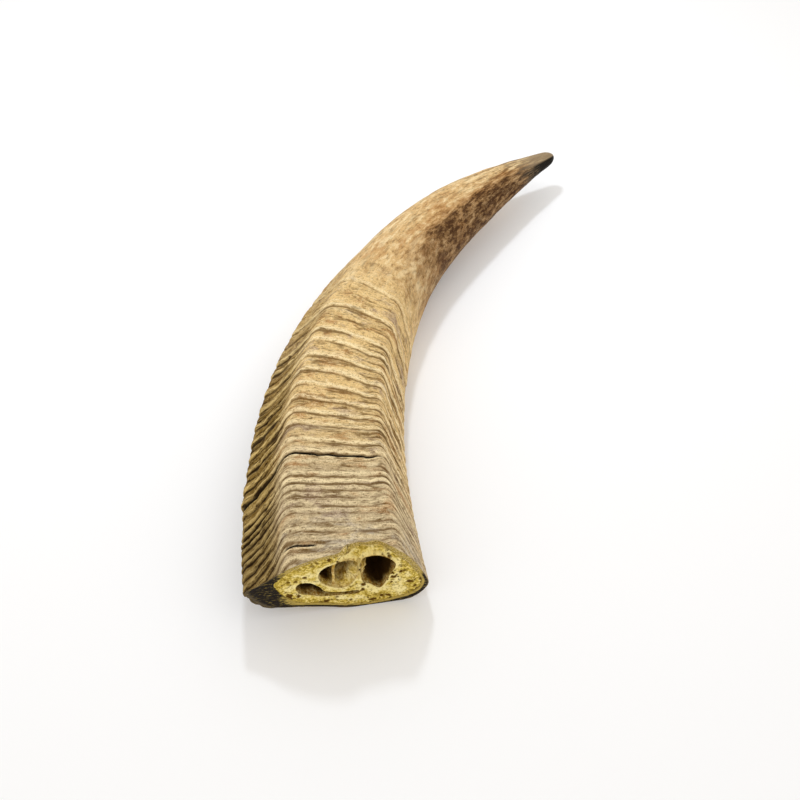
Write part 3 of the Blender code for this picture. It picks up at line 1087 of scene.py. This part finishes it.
def stand_camera(settings):
    """The camera stands so that the middle of the sawn end's foot falls on its place in the picture."""
    focal_pixels = settings.lens / SENSOR * PICTURE
    turned, raised = settings.heading, settings.elevation
    towards = Vector((
        -math.sin(turned) * math.cos(raised), math.cos(turned) * math.cos(raised), -math.sin(raised)
    ))
    right = Vector((math.cos(turned), math.sin(turned), 0.0))
    up = right.cross(towards)
    foot = Vector((*BASE_MIDDLE, 0.0)) * MM
    distance = focal_pixels / PIXELS_PER_METRE
    aside = (FOOT_PIXEL[0] - PICTURE / 2) / PIXELS_PER_METRE
    below = (FOOT_PIXEL[1] - PICTURE / 2) / PIXELS_PER_METRE
    data = bpy.data.cameras.new("camera")
    data.sensor_width = SENSOR
    data.lens = settings.lens
    camera = bpy.data.objects.new("camera", data)
    camera.location = foot - towards * distance - right * aside + up * below
    camera.rotation_euler = Euler((math.pi / 2 - raised, 0.0, turned))
    bpy.context.scene.collection.objects.link(camera)
    bpy.context.scene.camera = camera


class MESH_OT_horn_sheath(bpy.types.Operator):
    """Makes the ringed sheath"""

    bl_idname = "mesh.goat_horn_sheath"
    bl_label = "Ringed sheath"

    def execute(self, context):
        ringed_sheath(context.scene.horn_sheath_settings)
        return {"FINISHED"}


class MESH_OT_bone_core(bpy.types.Operator):
    """Makes the spongy bone core"""

    bl_idname = "mesh.goat_horn_core"
    bl_label = "Bone core"

    def execute(self, context):
        bone_core(context.scene.bone_core_settings)
        return {"FINISHED"}


class SCENE_OT_horn_stage(bpy.types.Operator):
    """Makes the floor, the lights and the camera"""

    bl_idname = "scene.goat_horn_stage"
    bl_label = "Studio"

    def execute(self, context):
        settings = context.scene.horn_stage_settings
        lay_floor(settings)
        even_light(settings.ambient)
        hang_lamp(settings.key)
        stand_camera(settings)
        context.scene.view_settings.view_transform = "Standard"
        return {"FINISHED"}


class VIEW3D_PT_goat_horn(bpy.types.Panel):
    """Lists the horn's pieces and their settings"""

    bl_label = "Goat horn"
    bl_space_type = "VIEW_3D"
    bl_region_type = "UI"
    bl_category = "Goat horn"

    def draw(self, context):
        for idname, group in (
            (MESH_OT_horn_sheath.bl_idname, context.scene.horn_sheath_settings),
            (MESH_OT_bone_core.bl_idname, context.scene.bone_core_settings),
            (SCENE_OT_horn_stage.bl_idname, context.scene.horn_stage_settings),
        ):
            box = self.layout.box()
            box.operator(idname)
            for name in group.__annotations__:
                box.prop(group, name)


CLASSES = (
    SheathSettings,
    CoreSettings,
    StageSettings,
    MESH_OT_horn_sheath,
    MESH_OT_bone_core,
    SCENE_OT_horn_stage,
    VIEW3D_PT_goat_horn,
)


def register():
    for cls in CLASSES:
        bpy.utils.register_class(cls)
    bpy.types.Scene.horn_sheath_settings = PointerProperty(type=SheathSettings)
    bpy.types.Scene.bone_core_settings = PointerProperty(type=CoreSettings)
    bpy.types.Scene.horn_stage_settings = PointerProperty(type=StageSettings)


def unregister():
    del bpy.types.Scene.horn_stage_settings
    del bpy.types.Scene.bone_core_settings
    del bpy.types.Scene.horn_sheath_settings
    for cls in reversed(CLASSES):
        bpy.utils.unregister_class(cls)


def main():
    register()
    bpy.ops.scene.goat_horn_stage()
    bpy.ops.mesh.goat_horn_sheath()
    bpy.ops.mesh.goat_horn_core()


if __name__ == "__main__":
    main()
